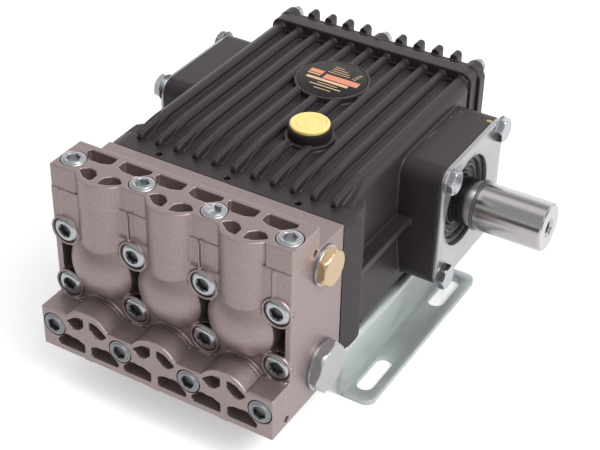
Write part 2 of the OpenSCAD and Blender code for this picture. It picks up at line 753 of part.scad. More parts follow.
module drive_shaft() {
    color(steel) translate([0, shaft_back, shaft_h]) rotate([0, 90, 0]) difference() {
        union() {
            translate([0, 0, shaft_tail]) cylinder(d = journal_d, h = shoulder_at - shaft_tail + eps);
            translate([0, 0, shoulder_at]) cylinder(d = shaft_d, h = shaft_end - shoulder_at - 1);
            translate([0, 0, shaft_end - 1 - eps]) cylinder(r1 = shaft_d / 2, r2 = shaft_d / 2 - 1, h = 1);
        }
        translate([0, 0, shaft_end - shaft_hole_deep]) cylinder(r = shaft_hole_r, h = shaft_hole_deep + 1);
        translate([0, 0, shaft_end - 1.2]) cylinder(r1 = shaft_hole_r, r2 = shaft_hole_r + 1.4, h = 1.2 + eps);
        rotate(-36) translate([0, shaft_d / 2 + 5 - key_deep, shaft_end - 2 - key_l / 2]) rotate([90, 0, 0])
            translate([0, 0, -5]) linear_extrude(10) slot_shape(key_l, key_w);
    }
}

module shaft_ring() {
    color(steel) translate([shoulder_at - 1.4, shaft_back, shaft_h]) rotate([0, 90, 0]) difference() {
        cylinder(d = shaft_d + 1.2, h = 1.4);
        translate([0, 0, -1]) cylinder(d = journal_d, h = 4);
    }
}

module filler_neck() {
    color(rubber) translate([filler_x, filler_y, rib_bed_h + 2.2]) {
        cylinder(d = neck_d, h = cap_top_h - 2 - rib_bed_h - 2.2);
        translate([0, 0, -6]) cylinder(d = neck_d - 6.3, h = 7);
    }
}

module filler_cap() {
    color(yellow) translate([filler_x, filler_y, cap_top_h - 2]) difference() {
        cylinder(d = cap_d, h = 2);
        for (r = [3, 5.4, 7.8]) translate([0, 0, 1.6]) difference() {
            cylinder(r = r, h = 1);
            translate([0, 0, -1]) cylinder(r = r - 0.6, h = 3);
        }
    }
}

module label_plate() {
    color(black_paint) translate([0, label_y, rib_top_h - 1]) cylinder(d = label_d, h = 1.1);
}

// Hexagon plug on the manifold's right end, with its seat at x
module end_plug(x, y, z, af, head, turn, bore_r) {
    translate([x, y, z]) rotate([0, 90, 0]) {
        intersection() {
            rotate(90 - turn) linear_extrude(head) hexagon(af);
            translate([0, 0, -1]) cylinder(r1 = af / 2 + head + 1.1, r2 = af / 2 + 0.1, h = head + 1);
        }
        translate([0, 0, -12]) cylinder(r = bore_r - shank_gap, h = 12 + eps);
    }
}

module end_washer(y, z, outer_r, bore_r, t) {
    translate([bank_half, y, z]) rotate([0, 90, 0]) difference() {
        cylinder(r = outer_r, h = t);
        translate([0, 0, -1]) cylinder(r = bore_r + 0.1, h = t + 2);
    }
}

washer_t = 1.5;

module discharge_plug() {
    color(brass) end_plug(bank_half + washer_t, -gallery_y, gallery_z, discharge_af, discharge_head, 39.5, discharge_port_r);
}

module discharge_plug_washer() {
    color(steel) end_washer(-gallery_y, gallery_z, discharge_af / 2 + 1.2, discharge_port_r, washer_t);
}

module inlet_plug() {
    color(zinc) end_plug(bank_half + washer_t, -inlet_y, inlet_z, inlet_af, inlet_head, 52.5, inlet_port_r);
}

module inlet_plug_washer() {
    color(steel) end_washer(-inlet_y, inlet_z, inlet_af / 2 + 1.2, inlet_port_r, washer_t);
}

// Right-hand rail: a foot with two slots, an upright and a lip under the crankcase
module rail() {
    bend = 3;
    difference() {
        union() {
            translate([rail_web, rail_front, bend]) cube([sheet, rail_l, seat_h - 2 * bend]);
            difference() {
                translate([rail_web + bend, rail_front, 0])
                    linear_extrude(sheet) rounded_rect(-bend, 0, rail_edge - rail_web - bend, rail_l, 5);
                translate([rail_web - 1, rail_front - 1, -1]) cube([bend + 1, rail_l + 2, bend + 1]);
            }
            translate([rail_web - rail_lip, rail_front, seat_h - sheet])
                cube([rail_lip + sheet - bend, rail_l, sheet]);
            translate([rail_web + bend, rail_front, bend]) quarter(rail_l, bend);
            translate([rail_web + sheet - bend, rail_front, seat_h - bend]) rotate([0, 180, 0]) quarter(rail_l, bend);
        }
        for (s = [-1, 1]) translate([slot_x, slot_mid + s * slot_gap / 2, -1])
            linear_extrude(sheet + 2) slot_shape(slot_l, slot_hole_w);
        for (y = rail_bolt_ys) translate([rail_bolt_x, y, seat_h - sheet - 1])
            cylinder(r = shank_hole_r, h = sheet + 2);
    }
}

// Quarter of a round bar along Y, filling the bend between two sheets
module quarter(l, r) {
    intersection() {
        translate([0, l, 0]) rotate([90, 0, 0]) cylinder(r = r, h = l);
        translate([-r, 0, -r]) cube([r, l, r]);
    }
}

module right_rail() {
    color(dull_zinc) rail();
}

module left_rail() {
    color(dull_zinc) mirror([1, 0, 0]) rail();
}

module rail_bolts() {
    color(zinc) for (x = [-rail_bolt_x, rail_bolt_x]) for (y = rail_bolt_ys)
        translate([x, y, seat_h - sheet]) {
            translate([0, 0, -rail_bolt_head]) linear_extrude(rail_bolt_head) hexagon(rail_bolt_af);
            translate([0, 0, -eps]) cylinder(r = shank_r, h = sheet + screw_grip);
        }
}

placed() crankcase();
placed() rear_cover();
placed() rear_cover_screws();
placed() drain_plug();
placed() manifold();
placed() discharge_cover();
placed() inlet_cover();
placed() discharge_cover_screws();
placed() inlet_cover_screws();
placed() upper_manifold_screws();
placed() lower_manifold_screws();
placed() discharge_plug();
placed() discharge_plug_washer();
placed() inlet_plug();
placed() inlet_plug_washer();
placed() bearing_flange();
placed() bearing_flange_bolts();
placed() shaft_seal();
placed() closed_bearing_cover();
placed() closed_cover_bolts();
placed() sight_glass();
placed() drive_shaft();
placed() shaft_ring();
placed() filler_neck();
placed() filler_cap();
placed() label_plate();
placed() right_rail();
placed() left_rail();
placed() rail_bolts();
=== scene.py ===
"""Looks of a high-pressure plunger pump: softened castings, screws, plates, materials, light and camera."""

import json
import math

import bmesh
import bpy
from bpy.props import FloatProperty, FloatVectorProperty, IntProperty, PointerProperty
from bpy.types import Operator, Panel, PropertyGroup
from mathutils import Matrix, Vector


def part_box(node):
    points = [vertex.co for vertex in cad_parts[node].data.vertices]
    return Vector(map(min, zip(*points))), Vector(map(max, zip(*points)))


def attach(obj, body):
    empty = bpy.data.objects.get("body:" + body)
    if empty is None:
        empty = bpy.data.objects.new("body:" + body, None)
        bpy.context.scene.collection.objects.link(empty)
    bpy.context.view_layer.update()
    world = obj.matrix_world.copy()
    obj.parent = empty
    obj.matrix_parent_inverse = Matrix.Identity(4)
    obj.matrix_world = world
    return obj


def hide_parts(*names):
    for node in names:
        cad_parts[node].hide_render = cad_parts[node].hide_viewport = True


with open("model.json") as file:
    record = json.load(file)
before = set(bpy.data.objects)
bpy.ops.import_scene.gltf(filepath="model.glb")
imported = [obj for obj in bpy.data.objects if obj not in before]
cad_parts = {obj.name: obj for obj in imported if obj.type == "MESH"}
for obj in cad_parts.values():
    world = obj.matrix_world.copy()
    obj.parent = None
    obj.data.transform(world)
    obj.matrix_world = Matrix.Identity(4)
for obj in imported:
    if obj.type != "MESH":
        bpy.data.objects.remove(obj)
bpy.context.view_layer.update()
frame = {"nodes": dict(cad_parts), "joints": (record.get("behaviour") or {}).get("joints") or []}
cad = frame["nodes"]

bl_info = {
    "name": "Plunger pump looks",
    "version": (1, 0, 0),
    "blender": (4, 5, 0),
    "location": "3D View > Sidebar > Pump",
    "description": "Dresses the packed plunger pump with castings, screws, plates, materials and a studio",
    "category": "Object",
}

MM = 0.001
PUMP = "pump"
SHAFT = "crankshaft"

# Places in metres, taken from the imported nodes
SHAFT_AXIS = next(j for j in frame["joints"] if j["name"] == "crankshaft_spin")["pos_m"]
CAP_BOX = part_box("filler_cap")
NECK_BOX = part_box("filler_neck")
LABEL_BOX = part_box("label_plate")
PLATE_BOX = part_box("bearing_flange")
SEAL_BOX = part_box("shaft_seal")
MANIFOLD_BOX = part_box("manifold")
UPPER_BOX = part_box("discharge_cover")
MIDDLE_X = (UPPER_BOX[0].x + UPPER_BOX[1].x) / 2

# Square notches at the ends of the valve covers' joints: side, and distance from the cover's edge
NOTCH = 2.9 * MM
NOTCH_INSET = 4 * MM

# Strips that fill those joints, in millimetres: half thickness, and how far they stay inside the castings
STRIP_HALF = 0.45
STRIP_INSET = 0.06

# Cooling ribs in millimetres
RIB_COUNT = 11
RIB_PITCH = 10.35

# Side outlines on the front flange in millimetres: behind the manifold's joint, and above the feet
RAMP_OUTLINE = ((10.2, 98.9), (12.5, 100.7), (31.5, 102.42), (31.5, 98.9))
NOSE_OUTLINE = (
    (8.5, 98), (8.6, 102.4), (9.4, 103.7), (12, 104.4), (22, 105.2), (31, 106), (36, 105.8), (36, 101),
)

# Layers of a rib's nose in millimetres: width, and how far its top stays below the outline
NOSE_LAYERS = ((3.4, 1.5), (2.9, 0.6), (2.3, 0.0))

# Height in millimetres above which the layers differ, and how much wider the ramp is than the row of ribs
NOSE_FOOT = 101.5
RAMP_MARGIN = 1.0

# Front flange of the crankcase: depth, draft of each side, and what its front edge stands out past the cover
FLANGE_DEEP = 11.7 * MM
FLANGE_DRAFT = 3.6 * MM
FLANGE_MARGIN = 0.3 * MM

# Most triangles of a large casting, a cover and the ribs' noses
BODY_FACES = 190000
COVER_FACES = 90000
NOSE_FACES = 60000

# Edges of machined pieces that are sharper than this are bevelled
BEVEL_ANGLE = math.radians(35)

# Depth of a star socket's lobes, as a share of its radius
STAR_DEPTH = 0.14

# Keyway in millimetres: length, width, floor above the axis, middle before the shaft's end, and its turn
KEY_LENGTH = 28
KEY_WIDTH = 8
KEY_FLOOR = 8
KEY_INSET = 16
KEY_TURN = math.radians(-36)

# Face of the oil seal from its case to its inner lip, in millimetres: radius, and depth below the face
SEAL_FACE = (
    (23.1, 0.3), (22.8, 0.0), (20.8, 0.0), (20.3, 0.4), (19.9, 1.8), (18.3, 2.3), (17.9, 1.1), (17.4, 0.8),
    (16.6, 0.9), (16.2, 1.6), (15.2, 2.6), (14.2, 2.7), (13.7, 1.5), (13.1, 1.1), (12.5, 1.3), (11.6, 2.4),
)

# Castings: tone of the grain's dark and light specks, and of the painted shade in the hollows
DARK_SPECK = 0.8
LIGHT_SPECK = 1.9
HOLLOW_TONE = 0.95

# Pointiness, 0.5 on a flat face, above which a face counts as an edge and gets a painted highlight, and below
# which as a hollow and gets painted shade
EDGE_START = 0.51
HOLLOW_START = 0.49

# Paint marks: how ragged their rim is, where it lies, and how sharp it is
RAGGED = 0.9
MARK_RIM = 1.7
MARK_SHARP = 4.0

# Lines of metal finishes: lines per metre on screws, and their depth in metres
SCREW_LINES = (2500.0, 2500.0, 2500.0)
FAINT = 0.000002

# Black paint: gloss, and the tint of its shine
PAINT_GLOSS = 0.33
PAINT_SHINE = (0.95, 0.82, 0.87, 1)

# Camera: turn round the pump, height and roll in degrees, place in metres, lens in millimetres
CAMERA_ANGLES = (30.25, 35.49, 1.22)
CAMERA_PLACE = (0.277484, -0.489529, 0.457080)
CAMERA_LENS = 86.49

# Point that the lamps face
LAMP_AIM = Vector((0, 0, 0.05))


def middle_of(box):
    """Centre point of a node's box."""
    return (box[0] + box[1]) / 2


# Sizes and colours that a user would change


def colour_property(name, description, default):
    """Colour setting of a finish."""
    return FloatVectorProperty(
        name=name, description=description, subtype="COLOR", size=3, min=0, max=1, default=default
    )


def length_property(name, description, default):
    """Length setting in metres."""
    return FloatProperty(name=name, description=description, unit="LENGTH", min=0, default=default)


class PumpFinishes(PropertyGroup):
    """Colours of the pump's finishes."""

    nickel: colour_property("Nickel", "Plated manifold and valve covers", (0.198, 0.157, 0.155))
    paint: colour_property("Black paint", "Crankcase and rear cover", (0.0125, 0.010, 0.0113))
    zinc: colour_property("Zinc", "Manifold screws, plate bolts and washers", (0.36, 0.37, 0.385))
    dull_zinc: colour_property("Dull zinc", "Discharge cover screws", (0.37, 0.38, 0.395))
    # Darker copy of the dull zinc, painted shade on the low front-facing inlet cover screws
    grey_zinc: colour_property("Grey zinc", "Inlet cover screws", (0.2, 0.21, 0.22))
    # Dark steel of the shaft's ring, also painted shade inside the screws' sockets and the shaft's centre
    # hole
    oxide_and_socket_shade: colour_property("Dark steel", "Sockets and the ring on the shaft", (0.13, 0.135, 0.14))
    plate: colour_property("Bright plate", "Bearing plates and inlet plug", (0.38, 0.38, 0.39))
    steel: colour_property("Ground steel", "Drive shaft", (0.37, 0.355, 0.36))
    rail: colour_property("Rail zinc", "Mounting rails", (0.375, 0.405, 0.405))
    brass: colour_property("Brass", "Discharge plug", (0.47, 0.345, 0.215))
    rubber: colour_property("Rubber", "Oil seal", (0.012, 0.012, 0.013))
    plastic: colour_property("Black plastic", "Oil filler neck and label", (0.009, 0.008, 0.007))
    cap: colour_property("Yellow plastic", "Oil filler cap", (0.64, 0.48, 0.17))
    print_orange: colour_property("Orange print", "Wide bar on the label", (0.52, 0.19, 0.11))
    print_cream: colour_property("Cream print", "Narrow bars on the label", (0.52, 0.33, 0.21))


class PumpShapes(PropertyGroup):
    """Sizes of the castings' and the machined pieces' edges."""

    cast_voxel: length_property("Casting cell", "Mesh size of the manifold and covers", 0.42 * MM)
    case_voxel: length_property("Crankcase cell", "Mesh size of the crankcase", 0.42 * MM)
    cast_passes: IntProperty(
        name="Softening passes",
        description="How far the castings' edges are rounded",
        min=0,
        max=20,
        default=1,
    )
    edge: length_property("Machined edge", "Bevel on turned and cut pieces", 0.25 * MM)


class PumpStage(PropertyGroup):
    """Floor and lamps."""

    floor: colour_property("Floor", "Colour of the studio floor", (0.64, 0.64, 0.64))
    floor_lift: FloatProperty(
        name="Floor lift", description="Whiteness added to the floor", min=0, default=0.36
    )
    key_power: FloatProperty(name="Key lamp", description="Power of the main lamp", unit="POWER", default=6.0)
    side_power: FloatProperty(
        name="Side lamp", description="Power of the lamp by the shaft", unit="POWER", default=6.0
    )
    ambient: FloatProperty(name="Ambient", description="Strength of the room's light", min=0, default=0.56)


# Shader node groups


def new_group(name, inputs, outputs):
    """Empty shader group with float inputs and with value or colour outputs."""
    group = bpy.data.node_groups.new(name, "ShaderNodeTree")
    for label, default in inputs:
        socket = group.interface.new_socket(name=label, in_out="INPUT", socket_type="NodeSocketFloat")
        socket.default_value = default
    for label, kind in outputs:
        group.interface.new_socket(name=label, in_out="OUTPUT", socket_type=kind)
    start = group.nodes.new("NodeGroupInput")
    end = group.nodes.new("NodeGroupOutput")
    return group, start, end


def put(tree, kind, values=None, **settings):
    """Node of a kind, with its properties and its unlinked inputs set."""
    node = tree.nodes.new(kind)
    for key, value in settings.items():
        setattr(node, key, value)
    for key, value in (values or {}).items():
        node.inputs[key].default_value = value
    return node


def math_node(tree, operation, a, b=None, clamp=False):
    """Math node whose inputs are sockets or numbers; returns its output."""
    node = put(tree, "ShaderNodeMath", operation=operation, use_clamp=clamp)
    for index, value in enumerate((a, b)):
        if value is None:
            continue
        if isinstance(value, (int, float)):
            node.inputs[index].default_value = value
        else:
            tree.links.new(value, node.inputs[index])
    return node.outputs[0]


def noise(tree, vector, scale, detail=3.0, roughness=0.55):
    """Noise texture value at a scale per metre, which is a number or a socket."""
    node = put(tree, "ShaderNodeTexNoise", {"Detail": detail, "Roughness": roughness})
    tree.links.new(vector, node.inputs["Vector"])
    if isinstance(scale, (int, float)):
        node.inputs["Scale"].default_value = scale
    else:
        tree.links.new(scale, node.inputs["Scale"])
    return node.outputs["Fac"]


def blasted_group():
    """Fine grain of a cast surface, with slow changes of tone."""
    group, start, end = new_group(
        "Cast grain",
        [("Grain Scale", 2600.0), ("Mottle Scale", 90.0)],
        [("Height", "NodeSocketFloat"), ("Grain", "NodeSocketFloat"), ("Mottle", "NodeSocketFloat")],
    )
    place = put(group, "ShaderNodeTexCoord").outputs["Object"]
    fine = noise(group, place, start.outputs["Grain Scale"], 4.0, 0.6)
    coarse_scale = math_node(group, "MULTIPLY", start.outputs["Grain Scale"], 0.22)
    coarse = noise(group, place, coarse_scale, 2.0)
    high = math_node(group, "MULTIPLY", fine, 0.9)
    height = math_node(group, "ADD", high, math_node(group, "MULTIPLY", coarse, 0.5))
    group.links.new(height, end.inputs["Height"])
    group.links.new(fine, end.inputs["Grain"])
    group.links.new(noise(group, place, start.outputs["Mottle Scale"], 3.0), end.inputs["Mottle"])
    return group


def edge_light_and_shade_group():
    """Masks of a surface's outer edges, for a painted highlight broken up by noise, and of its hollows, for
    painted shade.
    """
    group, start, end = new_group(
        "Edges and hollows",
        [("Edge Width", 0.05), ("Breakup Scale", 500.0)],
        [("Edge", "NodeSocketFloat"), ("Hollow", "NodeSocketFloat")],
    )
    point = put(group, "ShaderNodeNewGeometry").outputs["Pointiness"]
    place = put(group, "ShaderNodeTexCoord").outputs["Object"]
    patches = noise(group, place, start.outputs["Breakup Scale"], 3.0)
    width = start.outputs["Edge Width"]
    rise = math_node(group, "DIVIDE", math_node(group, "SUBTRACT", point, EDGE_START), width)
    edge = math_node(group, "MULTIPLY", rise, math_node(group, "MULTIPLY", patches, 1.7), clamp=True)
    fall = math_node(group, "DIVIDE", math_node(group, "SUBTRACT", HOLLOW_START, point), width)
    group.links.new(edge, end.inputs["Edge"])
    group.links.new(math_node(group, "MULTIPLY", fall, 1.0, clamp=True), end.inputs["Hollow"])
    return group


def brushed_group():
    """Fine lines of a turned or rolled surface: stretched noise along one axis."""
    group, start, end = new_group(
        "Fine lines",
        [("Across X", 1.0), ("Across Y", 1.0), ("Across Z", 1.0)],
        [("Height", "NodeSocketFloat")],
    )
    place = put(group, "ShaderNodeTexCoord").outputs["Object"]
    scale = put(group, "ShaderNodeCombineXYZ")
    for axis in "XYZ":
        group.links.new(start.outputs["Across " + axis], scale.inputs[axis])
    stretch = put(group, "ShaderNodeVectorMath", operation="MULTIPLY")
    group.links.new(place, stretch.inputs[0])
    group.links.new(scale.outputs[0], stretch.inputs[1])
    group.links.new(noise(group, stretch.outputs[0], 1.0, 4.0, 0.65), end.inputs["Height"])
    return group


GROUPS = {}


def use_group(tree, name, values=None):
    """Places one of the shared groups in a material's tree."""
    makers = {"Cast grain": blasted_group, "Edges and hollows": edge_light_and_shade_group, "Fine lines": brushed_group}
    if name not in GROUPS:
        GROUPS[name] = makers[name]()
    node = tree.nodes.new("ShaderNodeGroup")
    node.node_tree = GROUPS[name]
    for key, value in (values or {}).items():
        node.inputs[key].default_value = value
    return node


# Materials


def new_material(name, colour, metallic, roughness, specular=0.5):
    """Material with a Principled shader; returns it with its tree and shader."""
    material = bpy.data.materials.new(name)
    material.use_nodes = True
    tree = material.node_tree
    shader = tree.nodes["Principled BSDF"]
    shader.inputs["Base Color"].default_value = (*colour, 1)
    shader.inputs["Metallic"].default_value = metallic
    shader.inputs["Roughness"].default_value = roughness
    shader.inputs["Specular IOR Level"].default_value = specular
    return material, tree, shader


def bump(tree, shader, height, strength, distance):
    """Feeds a height through a Bump node to the shader's normal."""
    node = put(tree, "ShaderNodeBump", {"Strength": strength, "Distance": distance})
    tree.links.new(height, node.inputs["Height"])
    tree.links.new(node.outputs[0], shader.inputs["Normal"])


def mix_colour(tree, factor, low, high):
    """Colour between two colours, each a socket or a plain colour."""
    node = put(tree, "ShaderNodeMix", data_type="RGBA")
    tree.links.new(factor, node.inputs["Factor"])
    for key, value in (("A", low), ("B", high)):
        socket = [s for s in node.inputs if s.name == key and s.type == "RGBA"][0]
        if isinstance(value, tuple):
            socket.default_value = (*value, 1)
        else:
            tree.links.new(value, socket)
    return [s for s in node.outputs if s.type == "RGBA"][0]


def spread(tree, factor, low, high):
    """Value that goes from low to high as factor goes from 0 to 1."""
    node = put(tree, "ShaderNodeMapRange", {"To Min": low, "To Max": high})
    tree.links.new(factor, node.inputs["Value"])
    return node.outputs[0]


def times(tree, colour, factor):
    """Colour socket times a value socket."""
    node = put(tree, "ShaderNodeVectorMath", operation="SCALE")
    tree.links.new(colour, node.inputs[0])
    tree.links.new(factor, node.inputs["Scale"])
    return node.outputs[0]


def shade(colour, factor):
    """Colour times a factor, kept below white."""
    return tuple(min(1.0, c * factor) for c in colour)


def cast_material(name, colour, metallic, roughness, grain, edge_highlight, depth, mottle, marks=()):
    """Finish of a casting: grain, mottled tone, painted highlight on the edges, painted shade in the hollows
    and small marks.
    """
    material, tree, shader = new_material(name, colour, metallic, roughness, 0.5 if metallic else PAINT_GLOSS)
    if not metallic:
        shader.inputs["Specular Tint"].default_value = PAINT_SHINE
    cast = use_group(tree, "Cast grain", {"Grain Scale": grain})
    edge_light_and_shade = use_group(tree, "Edges and hollows")
    tone = mix_colour(tree, cast.outputs["Mottle"], shade(colour, 1 - mottle), shade(colour, 1 + mottle))
    speck = spread(tree, cast.outputs["Grain"], DARK_SPECK, LIGHT_SPECK)
    tone = times(tree, tone, speck)
    # Painted shade darkens the hollows and a painted highlight lightens the edges
    tone = mix_colour(tree, edge_light_and_shade.outputs["Hollow"], tone, shade(colour, HOLLOW_TONE))
    tone = mix_colour(tree, edge_light_and_shade.outputs["Edge"], tone, shade(colour, edge_highlight))
    place = put(tree, "ShaderNodeTexCoord").outputs["Object"]
    for centre, turn, size, tint in marks:
        near = put(tree, "ShaderNodeMapping", vector_type="TEXTURE")
        near.inputs["Location"].default_value = centre
        near.inputs["Rotation"].default_value = (0, 0, turn)
        near.inputs["Scale"].default_value = size
        tree.links.new(place, near.inputs["Vector"])
        far = put(tree, "ShaderNodeVectorMath", operation="LENGTH")
        tree.links.new(near.outputs[0], far.inputs[0])
        rim = math_node(tree, "MULTIPLY", cast.outputs["Height"], RAGGED)
        ragged = math_node(tree, "ADD", far.outputs["Value"], rim)
        inside = math_node(tree, "SUBTRACT", MARK_RIM, ragged)
        mask = math_node(tree, "MULTIPLY", inside, MARK_SHARP, clamp=True)
        tone = mix_colour(tree, mask, tone, tint)
    tree.links.new(tone, shader.inputs["Base Color"])
    rough = spread(tree, cast.outputs["Mottle"], roughness - mottle / 4, roughness + mottle / 4)
    tree.links.new(rough, shader.inputs["Roughness"])
    bump(tree, shader, cast.outputs["Height"], 0.6, depth)
    return material


def lined_material(name, colour, roughness, across, depth, metallic=1.0):
    """Finish of a turned, ground or rolled metal with fine lines, and painted shade in its hollows."""
    material, tree, shader = new_material(name, colour, metallic, roughness)
    lines = use_group(tree, "Fine lines", dict(zip(("Across X", "Across Y", "Across Z"), across)))
    edge_light_and_shade = use_group(tree, "Edges and hollows", {"Edge Width": 0.08})
    tone = mix_colour(tree, lines.outputs["Height"], shade(colour, 0.9), shade(colour, 1.1))
    # Painted shade in the hollows
    tone = mix_colour(tree, edge_light_and_shade.outputs["Hollow"], tone, shade(colour, 0.5))
    tree.links.new(tone, shader.inputs["Base Color"])
    rough = spread(tree, lines.outputs["Height"], roughness * 0.75, roughness * 1.3)
    tree.links.new(rough, shader.inputs["Roughness"])
    bump(tree, shader, lines.outputs["Height"], 0.25, depth)
    return material


def moulded_material(name, colour, roughness, specular=0.3, grain=1800.0):
    """Plastic or rubber with a faint moulding grain."""
    material, tree, shader = new_material(name, colour, 0.0, roughness, specular)
    cast = use_group(tree, "Cast grain", {"Grain Scale": grain, "Mottle Scale": 200.0})
    tone = mix_colour(tree, cast.outputs["Mottle"], shade(colour, 0.92), shade(colour, 1.08))
    tree.links.new(tone, shader.inputs["Base Color"])
    rough = spread(tree, cast.outputs["Mottle"], roughness - 0.05, roughness + 0.1)
    tree.links.new(rough, shader.inputs["Roughness"])
    bump(tree, shader, cast.outputs["Height"], 0.15, 0.00002)
    return material


MATERIALS = {}


def paint_marks():
    """Small marks on top of the shaft side's housing: centre, turn, half sizes, colour."""
    edge = PLATE_BOX[0].x
    back = middle_of(PLATE_BOX).y
    top = PLATE_BOX[1].z
    ochre = (0.30, 0.22, 0.07)
    grey = (0.16, 0.14, 0.12)
    places = (
        (1.2, 22.0, 0.2, 1.7, 1.2, ochre),
        (-16.2, 15.3, 0.0, 0.4, 0.4, grey),
        (-14.1, 22.2, 0.0, 0.5, 0.4, grey),
        (-16.7, -4.3, 1.54, 6.4, 0.16, grey),
    )
    marks = []
    for x, y, turn, long, wide, tint in places:
        marks.append(((edge + x * MM, back + y * MM, top), turn, (long * MM, wide * MM, 2 * MM), tint))
    return marks


def finish(name):
    """One of the pump's finishes, made when it is first asked for."""
    if name in MATERIALS:
        return MATERIALS[name]
    tint = bpy.context.scene.pump_finishes
    # Castings: name, colour, metallic, roughness, grain scale, painted edge highlight, bump depth, mottle and
    # marks
    castings = {
        "nickel": ("nickel_casting", tint.nickel, 0.8, 0.43, 1700.0, 1.5, 0.00008, 0.05),
        "paint": ("black_paint", tint.paint, 0.0, 0.44, 1500.0, 2.4, 0.00007, 0.2, paint_marks()),
    }
    metals = {
        "zinc": ("zinc_screws", tint.zinc, 0.25, SCREW_LINES, FAINT),
        "dull": ("dull_zinc", tint.dull_zinc, 0.36, SCREW_LINES, FAINT),
        # Inlet cover screws: darker zinc as painted shade
        "grey": ("grey_zinc", tint.grey_zinc, 0.38, SCREW_LINES, FAINT),
        # Dark steel, also painted shade inside sockets and holes
        "oxide_and_socket_shade": ("dark_steel", tint.oxide_and_socket_shade, 0.4, (1500.0, 1500.0, 1500.0), FAINT),
        "plate": ("bright_plate", tint.plate, 0.36, (200.0, 90.0, 90.0), FAINT),
        "steel": ("ground_steel", tint.steel, 0.17, (9000.0, 40.0, 40.0), 0.000004),
        "rail": ("rail_zinc", tint.rail, 0.42, (140.0, 60.0, 140.0), 0.00001, 0.75),
        "brass": ("brass", tint.brass, 0.3, (300.0, 300.0, 300.0), 0.000003),
    }
    moulded = {
        "rubber": ("seal_rubber", tint.rubber, 0.25, 0.22),
        "plastic": ("black_plastic", tint.plastic, 0.45, 0.18),
        "cap": ("yellow_plastic", tint.cap, 0.4),
        "orange": ("orange_print", tint.print_orange, 0.5),
        "cream": ("cream_print", tint.print_cream, 0.5),
    }
    for make, kinds in ((cast_material, castings), (lined_material, metals), (moulded_material, moulded)):
        if name in kinds:
            label, colour, *values = kinds[name]
            MATERIALS[name] = make(label, tuple(colour), *values)
    return MATERIALS[name]


# Mesh work


def new_piece(name, mesh, material, body=PUMP, second=None):
    """Object from a mesh, with its finish and a second one for marked faces, riding on a body."""
    piece = bpy.data.objects.new(name, mesh)
    bpy.context.scene.collection.objects.link(piece)
    for item in (material, second):
        if item:
            mesh.materials.append(item)
    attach(piece, body)
    return piece


def clean_mesh(node):
    """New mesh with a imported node's shape: welded, and without edges across flat faces."""
    work = bmesh.new()
    work.from_mesh(cad[node].data)
    bmesh.ops.remove_doubles(work, verts=work.verts, dist=1e-6)
    bmesh.ops.dissolve_limit(work, angle_limit=math.radians(0.4), verts=work.verts, edges=work.edges)
    points = [v.co.copy() for v in work.verts]
    work.verts.index_update()
    faces = [[v.index for v in face.verts] for face in work.faces]
    work.free()
    mesh = bpy.data.meshes.new(node)
    mesh.from_pydata(points, [], faces)
    return mesh


def applied(piece):
    """Replaces a piece's mesh by the one that its modifiers give."""
    graph = bpy.context.evaluated_depsgraph_get()
    mesh = bpy.data.meshes.new_from_object(piece.evaluated_get(graph))
    piece.modifiers.clear()
    piece.data = mesh
    return mesh


def soften(piece, cell, passes, most_faces):
    """Rounds a casting's edges: even cells, a few smoothing passes, then thinner flat areas."""
    skin = piece.modifiers.new("Cells", "REMESH")
    skin.mode = "VOXEL"
    skin.voxel_size = cell
    soft = piece.modifiers.new("Soft", "SMOOTH")
    soft.factor = 0.5
    soft.iterations = passes
    mesh = applied(piece)
    triangles = 2 * len(mesh.polygons)
    if triangles > most_faces:
        thin = piece.modifiers.new("Thin", "DECIMATE")
        thin.ratio = most_faces / triangles
        mesh = applied(piece)
    mesh.shade_smooth()


def notch(piece, points):
    """Cuts small square notches at points on a piece's edges."""
    cutters = []
    for point in points:
        turn = Matrix.Rotation(math.radians(45), 4, "X")
        mesh = bpy.data.meshes.new("notch")
        work = bmesh.new()
        bmesh.ops.create_cube(work, size=NOTCH, matrix=Matrix.Translation(point) @ turn)
        work.to_mesh(mesh)
        work.free()
        cutter = bpy.data.objects.new("notch", mesh)
        bpy.context.scene.collection.objects.link(cutter)
        cut = piece.modifiers.new("Notch", "BOOLEAN")
        cut.operation = "DIFFERENCE"
        cut.solver = "MANIFOLD"
        cut.object = cutter
        cutters.append(cutter)
    if cutters:
        applied(piece)
    for cutter in cutters:
        bpy.data.objects.remove(cutter)


def casting(node, name, cell, passes, most_faces, material, notches=()):
    """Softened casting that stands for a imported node, with small square notches at points on its edges."""
    piece = new_piece(name, clean_mesh(node), material)
    soften(piece, cell, passes, most_faces)
    notch(piece, notches)
    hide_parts(node)
    return piece


def seam_strip(node, name, axis, toward, material, notches):
    """Thin strip that fills the softened joint between a valve cover and the manifold."""
    mesh = clean_mesh(node)
    mesh.update()
    joint = min(v.co[axis] * toward for v in mesh.vertices)
    for vert in mesh.vertices:
        level = joint + (STRIP_HALF if vert.co[axis] * toward > joint + MM else -STRIP_HALF) * MM
        inward = vert.normal.copy()
        inward[axis] = 0
        vert.co -= inward * STRIP_INSET * MM
        vert.co[axis] = level * toward
    notch(new_piece(name, mesh, material), notches)


def side_profile(work, outline, middle, width):
    """Adds a closed bar to a mesh: an outline of (y, z) points, carried across a width about a middle x."""
    rows = []
    for side in (-0.5, 0.5):
        rows.append([work.verts.new(((middle + side * width) * MM, y * MM, z * MM)) for y, z in outline])
    count = len(outline)
    work.faces.new(rows[0])
    work.faces.new(list(reversed(rows[1])))
    for k in range(count):
        m = (k + 1) % count
        work.faces.new((rows[0][m], rows[0][k], rows[1][k], rows[1][m]))


